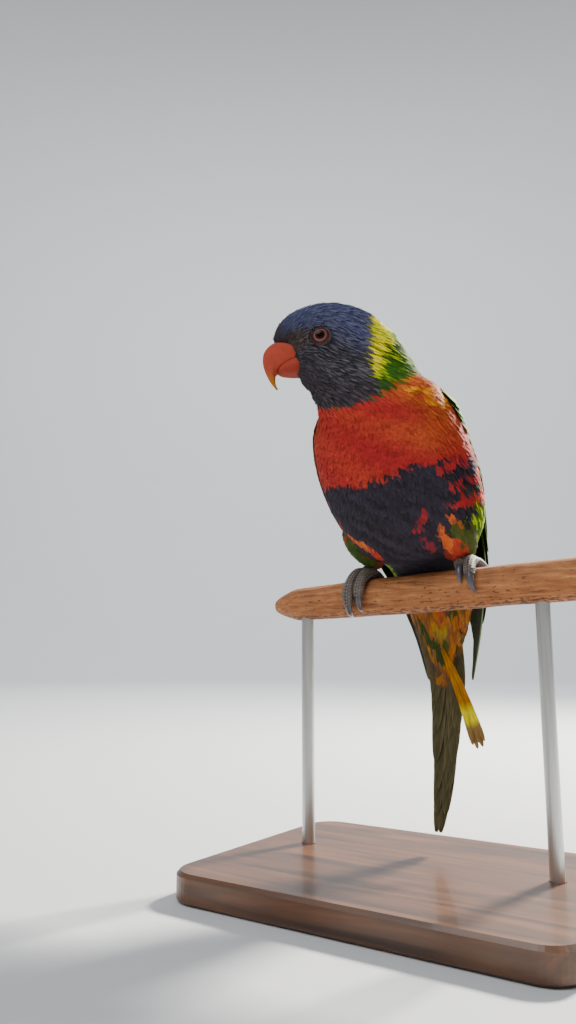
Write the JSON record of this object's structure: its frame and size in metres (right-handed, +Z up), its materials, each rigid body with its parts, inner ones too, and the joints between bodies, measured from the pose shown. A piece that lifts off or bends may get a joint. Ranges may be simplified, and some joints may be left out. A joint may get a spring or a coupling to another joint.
{
  "type": "rainbow lorikeet, still display model on a perch and stand",
  "caption": "Life-size rainbow lorikeet gripping a short cut branch, head turned to its right, held over a flat base by two rods.",
  "frame": {"origin": "centre of the stand base's underside", "axes": "+Z up; -Y is the way the bird's body faces, +X is the bird's own left; the perch runs along X"},
  "size_m": [0.164, 0.124, 0.2513],
  "materials": {
    "head_feathers": "matte feathers, violet-blue with paler shaft streaks, browner on the chin",
    "neck_feathers": "matte feathers, yellow-green collar and dark throat",
    "body_feathers": "matte feathers, orange-red breast, blue-black belly, green back",
    "tail_feathers": "feather vanes, green above and olive-yellow beneath",
    "wing_feathers": "feather vanes, green with dark flight feathers",
    "thigh_feathers": "matte feathers, orange and green",
    "bill_horn": "satin horn, red-orange, yellower at the tip",
    "eye": "polished, red-orange iris with a black pupil",
    "foot_skin": "scaly grey skin",
    "claw_horn": "satin dark horn",
    "branch_wood": "worn bare wood with dark flecks",
    "base_wood": "dark satin-varnished wood",
    "rod_steel": "brushed steel"
  },
  "bodies": {
    "root": {"head": "head_feathers", "neck": "neck_feathers", "torso": "body_feathers", "tail": "tail_feathers", "wing_left": "wing_feathers", "wing_right": "wing_feathers", "thigh_left": "thigh_feathers", "thigh_right": "thigh_feathers", "bill_upper": "bill_horn", "bill_lower": "bill_horn", "eye_left": "eye", "eye_right": "eye", "foot_left": "foot_skin", "foot_right": "foot_skin", "claw_left_front_outer": "claw_horn", "claw_left_front_inner": "claw_horn", "claw_left_back_outer": "claw_horn", "claw_left_back_inner": "claw_horn", "claw_right_front_outer": "claw_horn", "claw_right_front_inner": "claw_horn", "claw_right_back_outer": "claw_horn", "claw_right_back_inner": "claw_horn", "perch": "branch_wood", "stand_base": "base_wood", "stand_rod_left": "rod_steel", "stand_rod_right": "rod_steel"}
  },
  "joints": []
}
